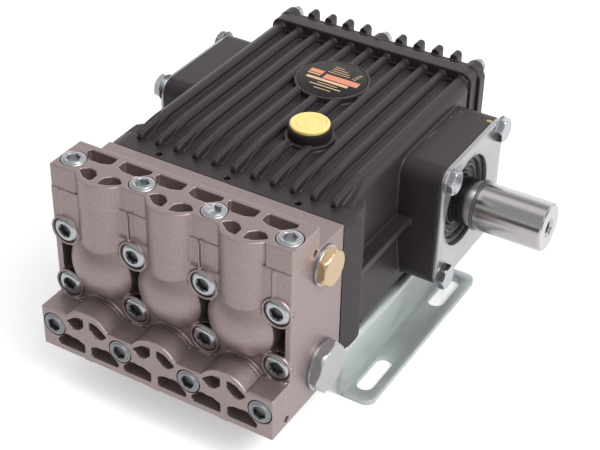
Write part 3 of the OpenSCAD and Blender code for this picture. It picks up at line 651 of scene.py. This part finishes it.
def rib_noses(cell, passes, material):
    """Front ends of the cooling ribs, which run out in noses on the flange, and the ramp between them."""
    seam = MANIFOLD_BOX[1].y / MM
    middle = MIDDLE_X / MM
    work = bmesh.new()
    span = (RIB_COUNT - 1) * RIB_PITCH
    side_profile(work, [(seam + y, z) for y, z in RAMP_OUTLINE], middle, span + RAMP_MARGIN)
    for width, drop in NOSE_LAYERS:
        outline = [(seam + y, z - (drop if z > NOSE_FOOT else 0)) for y, z in NOSE_OUTLINE]
        for i in range(RIB_COUNT):
            side_profile(work, outline, middle + (i - (RIB_COUNT - 1) / 2) * RIB_PITCH, width)
    bmesh.ops.recalc_face_normals(work, faces=work.faces)
    mesh = bpy.data.meshes.new("rib_noses")
    work.to_mesh(mesh)
    work.free()
    soften(new_piece("rib_noses", mesh, material), cell, passes, NOSE_FACES)


def draft_flange(piece, narrow, wide, front, back):
    """Tapers the crankcase's front flange from its back edge to the manifold's width at its front."""
    for vert in piece.data.vertices:
        if vert.co.y < back:
            reach = narrow + (wide - narrow) * (vert.co.y - front) / (back - front)
            offset = vert.co.x - MIDDLE_X
            if abs(offset) > reach:
                vert.co.x = MIDDLE_X + math.copysign(reach, offset)


def machined(node, name, edge, material, body=PUMP):
    """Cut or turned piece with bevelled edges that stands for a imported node."""
    piece = new_piece(name, clean_mesh(node), material, body)
    bevel = piece.modifiers.new("Edge", "BEVEL")
    bevel.width = edge
    bevel.segments = 2
    bevel.limit_method = "ANGLE"
    bevel.angle_limit = BEVEL_ANGLE
    mesh = applied(piece)
    mesh.shade_smooth()
    mesh.set_sharp_from_angle(angle=BEVEL_ANGLE)
    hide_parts(node)


def hexagon_radius(angle, flats):
    """Distance from the centre to a hexagon's side at an angle."""
    sector = (angle + math.pi / 6) % (math.pi / 3) - math.pi / 6
    return flats / 2 / math.cos(sector)


def ring_radius(shape, angle):
    """Radius of a turned ring: a plain radius, ("hex", flats), ("cut", flats, r) or ("star", r)."""
    if isinstance(shape, (int, float)):
        return shape
    if shape[0] == "hex":
        return hexagon_radius(angle, shape[1])
    if shape[0] == "cut":
        return min(hexagon_radius(angle, shape[1]), shape[2])
    return shape[1] * (1 + STAR_DEPTH * math.cos(6 * angle))


def turned_mesh(name, rings, sides, places, socket=None):
    """Closed solids from rings (height, shape), one at each place: (matrix, turn). Faces from ring number
    socket onwards take the second material: painted shade inside a socket or a hole."""
    points = []
    faces = []
    inside = []
    for matrix, turn in places:
        first = len(points)
        for height, shape in rings:
            for i in range(sides):
                angle = 2 * math.pi * i / sides
                radius = ring_radius(shape, angle)
                here = Vector((radius * math.cos(angle + turn), radius * math.sin(angle + turn), height)) * MM
                points.append(matrix @ here)
        for level in range(len(rings) - 1):
            low = first + level * sides
            for i in range(sides):
                j = (i + 1) % sides
                faces.append([low + i, low + j, low + sides + j, low + sides + i])
                inside.append(socket is not None and level >= socket)
        faces.append([first + i for i in reversed(range(sides))])
        last = first + (len(rings) - 1) * sides
        faces.append([last + i for i in range(sides)])
        inside += [False, socket is not None]
    mesh = bpy.data.meshes.new(name)
    mesh.from_pydata(points, [], faces)
    mesh.polygons.foreach_set("material_index", [int(flag) for flag in inside])
    mesh.shade_smooth()
    mesh.set_sharp_from_angle(angle=math.radians(28))
    return mesh


def facing(point, direction):
    """Matrix that puts a turned piece's foot at a point with its head along a direction."""
    turn = Vector(direction).to_track_quat("Z", "Y").to_matrix().to_4x4()
    return Matrix.Translation(Vector(point)) @ turn


def heads_of(node, direction, count):
    """Outer middle points of a node's equal pieces, one for each separate shell, in order along X, Y, Z."""
    work = bmesh.new()
    work.from_mesh(cad[node].data)
    bmesh.ops.remove_doubles(work, verts=work.verts, dist=1e-6)
    left = set(work.verts)
    way = Vector(direction)
    found = []
    while left:
        seed = left.pop()
        shell = {seed}
        todo = [seed]
        while todo:
            for edge in todo.pop().link_edges:
                for vert in edge.verts:
                    if vert in left:
                        left.discard(vert)
                        shell.add(vert)
                        todo.append(vert)
        low = Vector([min(v.co[k] for v in shell) for k in range(3)])
        high = Vector([max(v.co[k] for v in shell) for k in range(3)])
        centre = (low + high) / 2
        reach = max(v.co.dot(way) for v in shell)
        found.append(centre + way * (reach - centre.dot(way)))
    work.free()
    if len(found) != count:
        raise RuntimeError(f"{node} has {len(found)} shells instead of {count}")
    return sorted(found, key=lambda p: (round(p.x, 4), round(p.y, 4), round(p.z, 4)))


def fastener(node, name, direction, count, rings, material, turns, sides=48, socket=None):
    """Heads that stand for a node of equal screws or bolts; their rings' heights count back from the top."""
    places = []
    for index, point in enumerate(heads_of(node, direction, count)):
        places.append((facing(point, direction), turns[index % len(turns)]))
    # Painted shade: the inside of each socket takes the dark steel finish
    second = finish("oxide_and_socket_shade") if socket else None
    piece = new_piece(name, turned_mesh(name, rings, sides, places, socket), material, PUMP, second)
    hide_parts(node)


# Operators


class PUMP_OT_castings(Operator):
    """Rounds the edges of the manifold, its two valve covers, the crankcase and the rear cover"""

    bl_idname = "pump.castings"
    bl_label = "Castings"

    def execute(self, context):
        shapes = context.scene.pump_shapes
        passes = shapes.cast_passes
        nickel = finish("nickel")
        upper = UPPER_BOX
        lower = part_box("inlet_cover")
        top_notches = [Vector((x, upper[1].y - NOTCH_INSET, upper[0].z)) for x in (upper[0].x, upper[1].x)]
        foot_notches = [Vector((x, lower[1].y, lower[0].z + NOTCH_INSET)) for x in (lower[0].x, lower[1].x)]
        cell = shapes.cast_voxel
        casting("manifold", "manifold_block", cell, passes, BODY_FACES, nickel, top_notches + foot_notches)
        casting("discharge_cover", "discharge_valve_cover", cell, passes, COVER_FACES, nickel, top_notches)
        casting("inlet_cover", "inlet_valve_cover", cell, passes, COVER_FACES, nickel, foot_notches)
        seam_strip("discharge_cover", "upper_joint", 2, 1, nickel, top_notches)
        seam_strip("inlet_cover", "lower_joint", 1, -1, nickel, foot_notches)
        paint = finish("paint")
        cell = shapes.case_voxel
        case = casting("crankcase", "crankcase_body", cell, passes, BODY_FACES, paint)
        rib_noses(cell, passes, paint)
        half = upper[1].x - MIDDLE_X + FLANGE_MARGIN
        front = MANIFOLD_BOX[1].y
        draft_flange(case, half, half + FLANGE_DRAFT, front, front + FLANGE_DEEP)
        casting("rear_cover", "rear_case_cover", cell, passes, COVER_FACES, paint)
        return {"FINISHED"}


class PUMP_OT_cover_screws(Operator):
    """Makes the socket screws of the valve covers, with a flange and a raised rim round the socket"""

    bl_idname = "pump.cover_screws"
    bl_label = "Cover Screws"

    def execute(self, context):
        rings = [
            (-8, 5.7),
            (-1.0, 5.8),
            (-0.65, 5.55),
            (-0.5, 4.8),
            (-0.1, 4.55),
            (0.0, 4.2),
            (0.0, 3.6),
            (-0.3, ("hex", 5.9)),
            (-1.9, ("hex", 5.8)),
        ]
        turns = (0.2, 0.9, 0.5, 0.05)
        fastener("discharge_cover_screws", "discharge_screws", (0, 0, 1), 4, rings, finish("dull"), turns)
        # The inlet cover screws take a darker zinc as painted shade, and their sockets take painted shade too
        fastener("inlet_cover_screws", "inlet_screws", (0, -1, 0), 4, rings, finish("grey"), turns, 48, 6)
        return {"FINISHED"}


class PUMP_OT_manifold_screws(Operator):
    """Makes the two rows of star-socket screws that hold the manifold"""

    bl_idname = "pump.manifold_screws"
    bl_label = "Manifold Screws"

    def execute(self, context):
        rings = [
            (-4.4, 6.3),
            (-1.2, 6.3),
            (-0.6, 5.75),
            (-0.1, 4.8),
            (0.0, 4.4),
            (0.0, 3.5),
            (-0.4, ("star", 2.9)),
            (-2.2, ("star", 2.7)),
        ]
        turns = (0.1, 0.6, 0.35, 0.8)
        # The screws' sockets take the dark steel finish as painted shade
        fastener("upper_manifold_screws", "upper_screws", (0, -1, 0), 4, rings, finish("zinc"), turns, 72, 5)
        fastener("lower_manifold_screws", "lower_screws", (0, -1, 0), 4, rings, finish("zinc"), turns, 72, 5)
        return {"FINISHED"}


class PUMP_OT_rear_screws(Operator):
    """Makes the rear cover's socket screws and bevels its drain plug"""

    bl_idname = "pump.rear_screws"
    bl_label = "Rear Cover Screws"

    def execute(self, context):
        rings = [
            (-4, 3.5),
            (-0.4, 3.5),
            (0.0, 3.1),
            (0.0, 2.1),
            (-0.2, ("hex", 3.1)),
            (-2.0, ("hex", 3.0)),
        ]
        turns = (0.3, 0.8, 0.1)
        # The screws' sockets take the dark steel finish as painted shade
        fastener("rear_cover_screws", "rear_screws", (0, 1, 0), 6, rings, finish("zinc"), turns, 48, 3)
        machined("drain_plug", "oil_drain_plug", 0.3 * MM, finish("zinc"))
        return {"FINISHED"}


class PUMP_OT_bearing_plates(Operator):
    """Bevels the bearing plates, the sight glass and the plate bolts"""

    bl_idname = "pump.bearing_plates"
    bl_label = "Bearing Plates"

    def execute(self, context):
        edge = context.scene.pump_shapes.edge
        machined("bearing_flange", "shaft_side_plate", edge, finish("plate"))
        machined("closed_bearing_cover", "closed_plate", edge, finish("plate"))
        machined("sight_glass", "oil_sight_glass", edge, finish("zinc"))
        rings = [
            (-4.2, 6.7),
            (-3.7, 6.7),
            (-3.7, ("hex", 11.0)),
            (-0.85, ("hex", 11.0)),
            (-0.55, ("cut", 11.0, 6.0)),
            (-0.25, ("cut", 11.0, 5.7)),
            (0.0, 5.25),
        ]
        turns = (math.radians(28), math.radians(11), math.radians(40), math.radians(17))
        fastener("bearing_flange_bolts", "shaft_plate_bolts", (1, 0, 0), 4, rings, finish("zinc"), turns, 96)
        fastener("closed_cover_bolts", "closed_plate_bolts", (-1, 0, 0), 4, rings, finish("zinc"), turns, 96)
        return {"FINISHED"}


class PUMP_OT_shaft(Operator):
    """Makes the drive shaft, its ring and the oil seal round it"""

    bl_idname = "pump.shaft"
    bl_label = "Shaft and Seal"

    def execute(self, context):
        edge = context.scene.pump_shapes.edge
        self.turned_shaft()
        machined("shaft_ring", "shoulder_ring", edge * 0.6, finish("oxide_and_socket_shade"), SHAFT)
        self.seal((SEAL_BOX[1].x - SEAL_BOX[0].x) / MM)
        return {"FINISHED"}

    def turned_shaft(self):
        """Journal, shaft end with its chamfer and centre hole, and the keyway"""
        low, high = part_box("drive_shaft")
        tail = (low.x - high.x) / MM
        shoulder = (SHAFT_AXIS[0] - high.x) / MM
        rings = [
            (tail, 11.5),
            (shoulder, 11.5),
            (shoulder, 11.7),
            (shoulder + 0.3, 12.0),
            (-0.8, 12.0),
            (0.0, 11.2),
            (0.0, 4.9),
            (-1.3, 3.5),
            (-18.0, 3.4),
        ]
        end = (high.x, SHAFT_AXIS[1], SHAFT_AXIS[2])
        # The centre hole, from ring 7 on, takes the dark steel finish as painted shade
        mesh = turned_mesh("crankshaft_end", rings, 128, [(facing(end, (1, 0, 0)), 0.0)], 7)
        piece = new_piece("crankshaft_end", mesh, finish("steel"), SHAFT, finish("oxide_and_socket_shade"))
        outward = Vector((0, math.cos(KEY_TURN), math.sin(KEY_TURN)))
        along = Vector((1, 0, 0))
        turn = Matrix((along, outward.cross(along), outward)).transposed().to_4x4()
        centre = Vector(end) - along * KEY_INSET * MM + outward * KEY_FLOOR * MM
        slot = slot_mesh("keyway", KEY_LENGTH, KEY_WIDTH, 10, Matrix.Translation(centre) @ turn)
        cutter = bpy.data.objects.new("keyway", slot)
        bpy.context.scene.collection.objects.link(cutter)
        cut = piece.modifiers.new("Keyway", "BOOLEAN")
        cut.operation = "DIFFERENCE"
        cut.object = cutter
        applied(piece).set_sharp_from_angle(angle=math.radians(20))
        bpy.data.objects.remove(cutter)
        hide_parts("drive_shaft")

    def seal(self, depth):
        """Lathed seal: outer case, groove, dust lip"""
        outer = SEAL_FACE[0][0]
        inner = SEAL_FACE[-1][0]
        profile = [(outer, 0)] + [(radius, depth - drop) for radius, drop in SEAL_FACE] + [(inner, 0)]
        foot = (SEAL_BOX[0].x, SHAFT_AXIS[1], SHAFT_AXIS[2])
        mesh = lathed_mesh("oil_seal", profile, 128, facing(foot, (1, 0, 0)))
        piece = new_piece("oil_seal", mesh, finish("rubber"))
        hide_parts("shaft_seal")


def slot_mesh(name, long, wide, tall, matrix):
    """Closed bar with round ends, in millimetres: its length along X and its height along Z."""
    outline = []
    for end, first in ((1, -90), (-1, 90)):
        for step in range(13):
            angle = math.radians(first + 15 * step)
            across = wide / 2 * math.sin(angle)
            outline.append((end * (long - wide) / 2 + wide / 2 * math.cos(angle), across))
    count = len(outline)
    points = [matrix @ (Vector((x, y, z)) * MM) for z in (0, tall) for x, y in outline]
    faces = [list(reversed(range(count))), list(range(count, 2 * count))]
    faces += [[i, (i + 1) % count, count + (i + 1) % count, count + i] for i in range(count)]
    mesh = bpy.data.meshes.new(name)
    mesh.from_pydata(points, [], faces)
    return mesh


def lathed_mesh(name, profile, sides, matrix):
    """Closed ring from a profile of (radius, height) points in millimetres, turned about Z."""
    points = []
    faces = []
    count = len(profile)
    for i in range(sides):
        angle = 2 * math.pi * i / sides
        for radius, height in profile:
            here = Vector((radius * math.cos(angle), radius * math.sin(angle), height)) * MM
            points.append(matrix @ here)
    for i in range(sides):
        j = (i + 1) % sides
        for k in range(count):
            m = (k + 1) % count
            faces.append([i * count + k, j * count + k, j * count + m, i * count + m])
    mesh = bpy.data.meshes.new(name)
    mesh.from_pydata(points, [], faces)
    work = bmesh.new()
    work.from_mesh(mesh)
    bmesh.ops.recalc_face_normals(work, faces=work.faces)
    work.to_mesh(mesh)
    work.free()
    mesh.shade_smooth()
    mesh.set_sharp_from_angle(angle=math.radians(40))
    return mesh


class PUMP_OT_plugs(Operator):
    """Makes the hexagon plugs in the manifold's right end, and their washers"""

    bl_idname = "pump.plugs"
    bl_label = "Port Plugs"

    def execute(self, context):
        self.plug("discharge_plug", "brass_plug", 16.4, 3.9, math.radians(50.5), finish("brass"))
        self.plug("inlet_plug", "steel_plug", 22.2, 4.8, math.radians(37.5), finish("plate"))
        edge = context.scene.pump_shapes.edge
        machined("discharge_plug_washer", "brass_plug_washer", edge, finish("zinc"))
        machined("inlet_plug_washer", "steel_plug_washer", edge, finish("zinc"))
        return {"FINISHED"}

    def plug(self, node, name, flats, height, turn, material):
        """Chamfered hexagon head on a plain stem"""
        half = flats / 2
        rings = [
            (-height - 10, half * 0.72),
            (-height, half * 0.72),
            (-height, ("hex", flats)),
            (-1.3, ("hex", flats)),
            (-0.9, ("cut", flats, half + 0.8)),
            (-0.45, ("cut", flats, half + 0.35)),
            (0.0, half - 0.2),
        ]
        fastener(node, name, (1, 0, 0), 1, rings, material, (turn,), 96)


class PUMP_OT_filler(Operator):
    """Makes the oil filler: a black neck with a collar, and a yellow cap with raised rings"""

    bl_idname = "pump.filler"
    bl_label = "Oil Filler"

    def execute(self, context):
        centre = middle_of(CAP_BOX)
        top = CAP_BOX[1].z
        foot = NECK_BOX[0].z
        tall = (CAP_BOX[0].z - foot) / MM
        neck = [
            (0.0, 7.2),
            (6.0, 7.2),
            (6.0, 10.3),
            (tall - 0.8, 10.4),
            (tall - 0.2, 10.1),
            (tall, 9.6),
        ]
        place = [(Matrix.Translation((centre.x, centre.y, foot)), 0.0)]
        piece = new_piece("oil_neck", turned_mesh("oil_neck", neck, 96, place), finish("plastic"))
        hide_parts("filler_neck")
        cap = [
            (-2.0, 9.2),
            (-1.0, 9.5),
            (-0.5, 9.4),
            (-0.15, 9.0),
            (-0.02, 8.5),
            (-0.05, 8.0),
            (-0.3, 7.6),
            (-0.32, 6.6),
            (-0.12, 6.3),
            (-0.12, 5.6),
            (-0.32, 5.3),
            (-0.3, 3.0),
            (-0.1, 2.7),
            (-0.08, 0.4),
        ]
        place = [(Matrix.Translation((centre.x, centre.y, top)), 0.0)]
        piece = new_piece("oil_cap", turned_mesh("oil_cap", cap, 96, place), finish("cap"))
        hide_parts("filler_cap")
        return {"FINISHED"}


class PUMP_OT_label(Operator):
    """Makes the round label with plain printed bars"""

    bl_idname = "pump.label"
    bl_label = "Label"

    def execute(self, context):
        machined("label_plate", "label_disc", 0.15 * MM, finish("plastic"))
        centre = middle_of(LABEL_BOX)
        top = LABEL_BOX[1].z
        orange = [(4.6, 0.7, 19.0, 4.4), (-10.4, 3.0, 7.4, 3.2)]
        cream = [(-1.2, -3.3, 23.0, 2.0), (-10.4, 0.2, 7.0, 1.0)]
        for row, (x, long) in enumerate(((-2.0, 5.0), (-0.5, 8.0), (0.5, 10.0), (0.5, 12.0))):
            cream.append((x, 11.2 - 1.9 * row, long, 0.45))
            cream.append((10.5 - 0.4 * row, 9.6 - 1.6 * row, 2.2, 0.45))
        cream += [(0.5, -6.2, 11.0, 0.5), (0.5, -8.4, 17.0, 0.7), (0.5, -11.2, 9.0, 0.5)]
        self.bars("label_wide_bars", orange, centre, top, finish("orange"))
        self.bars("label_thin_bars", cream, centre, top, finish("cream"))
        return {"FINISHED"}

    def bars(self, name, bars, centre, top, material):
        """Flat printed bars: middle x and y, length and width in millimetres"""
        work = bmesh.new()
        for x, y, long, wide in bars:
            size = Matrix.Diagonal((long * MM, wide * MM, 0.08 * MM, 1))
            place = Matrix.Translation((centre.x + x * MM, centre.y + y * MM, top + 0.03 * MM))
            bmesh.ops.create_cube(work, size=1.0, matrix=place @ size)
        mesh = bpy.data.meshes.new(name)
        work.to_mesh(mesh)
        work.free()
        new_piece(name, mesh, material)


class PUMP_OT_rails(Operator):
    """Bevels the mounting rails and makes their bolts"""

    bl_idname = "pump.rails"
    bl_label = "Rails"

    def execute(self, context):
        edge = context.scene.pump_shapes.edge
        machined("right_rail", "right_mounting_rail", edge, finish("rail"))
        machined("left_rail", "left_mounting_rail", edge, finish("rail"))
        machined("rail_bolts", "rail_hex_bolts", edge, finish("zinc"))
        return {"FINISHED"}


class PUMP_OT_stage(Operator):
    """Sets up the floor, the lamps, the room's light and the camera"""

    bl_idname = "pump.stage"
    bl_label = "Stage"

    def execute(self, context):
        stage = context.scene.pump_stage
        mesh = bpy.data.meshes.new("floor")
        half = 6.0
        corners = [(-half, -half, 0), (half, -half, 0), (half, half, 0), (-half, half, 0)]
        mesh.from_pydata(corners, [], [[0, 1, 2, 3]])
        floor = bpy.data.objects.new("floor", mesh)
        context.scene.collection.objects.link(floor)
        material, tree, shader = new_material("studio_floor", tuple(stage.floor), 0.0, 0.7)
        path = put(tree, "ShaderNodeLightPath")
        seen = math_node(tree, "MAXIMUM", path.outputs["Is Camera Ray"], path.outputs["Is Glossy Ray"])
        lift = math_node(tree, "MULTIPLY", seen, stage.floor_lift)
        shader.inputs["Emission Color"].default_value = (1, 1, 1, 1)
        tree.links.new(lift, shader.inputs["Emission Strength"])
        mesh.materials.append(material)
        self.lamp("key_lamp", stage.key_power, 0.7, (0.56, -0.25, 0.8))
        self.lamp("side_lamp", stage.side_power, 0.28, (0.75, -0.03, 0.80))
        self.room(stage.ambient)
        self.camera(context)
        return {"FINISHED"}

    def lamp(self, name, power, size, place):
        """Square soft lamp that faces the pump"""
        data = bpy.data.lights.new(name, "AREA")
        data.energy = power
        data.size = size
        lamp = bpy.data.objects.new(name, data)
        bpy.context.scene.collection.objects.link(lamp)
        lamp.location = place
        lamp.rotation_mode = "QUATERNION"
        lamp.rotation_quaternion = (Vector(place) - LAMP_AIM).to_track_quat("Z", "Y")

    def room(self, strength):
        """Room light in bands from the front horizon over the top to the rear one, and pale on the right"""
        world = bpy.data.worlds.new("studio")
        bpy.context.scene.world = world
        world.use_nodes = True
        tree = world.node_tree
        ground = tree.nodes["Background"]
        place = put(tree, "ShaderNodeTexCoord").outputs["Generated"]
        parts = put(tree, "ShaderNodeSeparateXYZ")
        tree.links.new(place, parts.inputs[0])
        ahead = math_node(tree, "MULTIPLY", parts.outputs["Y"], -1.0)
        turn = math_node(tree, "ARCTAN2", parts.outputs["Z"], ahead)
        part = math_node(tree, "DIVIDE", turn, math.pi)
        ramp = put(tree, "ShaderNodeValToRGB")
        tree.links.new(part, ramp.inputs[0])
        # Place from the front horizon, 0, to the rear one, 1, and brightness: dim, even, then bright overhead
        front = ((0, 0.12), (0.07, 0.14), (0.12, 1.7), (0.17, 1.15), (0.4, 1.1), (0.49, 2.5))
        # The rear half: bright overhead, a darker gap, then brighter towards the horizon
        behind = ((0.58, 2.5), (0.66, 0.8), (0.74, 1.35), (0.8, 1.9), (0.86, 3.0), (1, 3.3))
        bands = front + behind
        stops = ramp.color_ramp.elements
        while len(stops) < len(bands):
            stops.new(0.5)
        for stop, (position, level) in zip(stops, bands):
            stop.position = position
            stop.color = (level, level, level, 1)
        limits = {"From Min": -0.36, "From Max": 0.0, "To Min": 0, "To Max": 0.95}
        side = put(tree, "ShaderNodeMapRange", limits)
        tree.links.new(parts.outputs["X"], side.inputs["Value"])
        tree.links.new(math_node(tree, "MAXIMUM", ramp.outputs[0], side.outputs[0]), ground.inputs["Color"])
        ground.inputs["Strength"].default_value = strength

    def camera(self, context):
        """Camera at the photograph's viewing angle"""
        azimuth, height, roll = (math.radians(angle) for angle in CAMERA_ANGLES)
        level = math.cos(height)
        back = Vector((math.sin(azimuth) * level, -math.cos(azimuth) * level, math.sin(height)))
        right = Vector((math.cos(azimuth), math.sin(azimuth), 0))
        up = back.cross(right)
        across = right * math.cos(roll) + up * math.sin(roll)
        upward = up * math.cos(roll) - right * math.sin(roll)
        data = bpy.data.cameras.new("camera")
        data.sensor_width = 36
        data.lens = CAMERA_LENS
        camera = bpy.data.objects.new("camera", data)
        context.scene.collection.objects.link(camera)
        turn = Matrix((across, upward, back)).transposed().to_4x4()
        camera.matrix_world = Matrix.Translation(CAMERA_PLACE) @ turn
        context.scene.camera = camera
        context.scene.view_settings.view_transform = "Standard"


class PUMP_PT_panel(Panel):
    """Lists the pump's pieces and their settings"""

    bl_idname = "PUMP_PT_panel"
    bl_label = "Plunger Pump"
    bl_space_type = "VIEW_3D"
    bl_region_type = "UI"
    bl_category = "Pump"

    def draw(self, context):
        layout = self.layout
        for group in (context.scene.pump_shapes, context.scene.pump_finishes, context.scene.pump_stage):
            box = layout.box()
            for key in group.__annotations__:
                box.prop(group, key)
        for operator in OPERATORS:
            layout.operator(operator.bl_idname)


OPERATORS = (
    PUMP_OT_castings,
    PUMP_OT_cover_screws,
    PUMP_OT_manifold_screws,
    PUMP_OT_rear_screws,
    PUMP_OT_bearing_plates,
    PUMP_OT_shaft,
    PUMP_OT_plugs,
    PUMP_OT_filler,
    PUMP_OT_label,
    PUMP_OT_rails,
    PUMP_OT_stage,
)
CLASSES = (PumpFinishes, PumpShapes, PumpStage, *OPERATORS, PUMP_PT_panel)


def register():
    """Registers the classes and hangs the settings on the scene."""
    for item in CLASSES:
        bpy.utils.register_class(item)
    bpy.types.Scene.pump_finishes = PointerProperty(type=PumpFinishes)
    bpy.types.Scene.pump_shapes = PointerProperty(type=PumpShapes)
    bpy.types.Scene.pump_stage = PointerProperty(type=PumpStage)


def unregister():
    """Removes the settings and the classes."""
    del bpy.types.Scene.pump_stage
    del bpy.types.Scene.pump_shapes
    del bpy.types.Scene.pump_finishes
    for item in reversed(CLASSES):
        bpy.utils.unregister_class(item)


def main():
    """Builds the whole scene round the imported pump."""
    register()
    bpy.ops.pump.castings()
    bpy.ops.pump.cover_screws()
    bpy.ops.pump.manifold_screws()
    bpy.ops.pump.rear_screws()
    bpy.ops.pump.bearing_plates()
    bpy.ops.pump.shaft()
    bpy.ops.pump.plugs()
    bpy.ops.pump.filler()
    bpy.ops.pump.label()
    bpy.ops.pump.rails()
    bpy.ops.pump.stage()


if __name__ == "__main__":
    main()
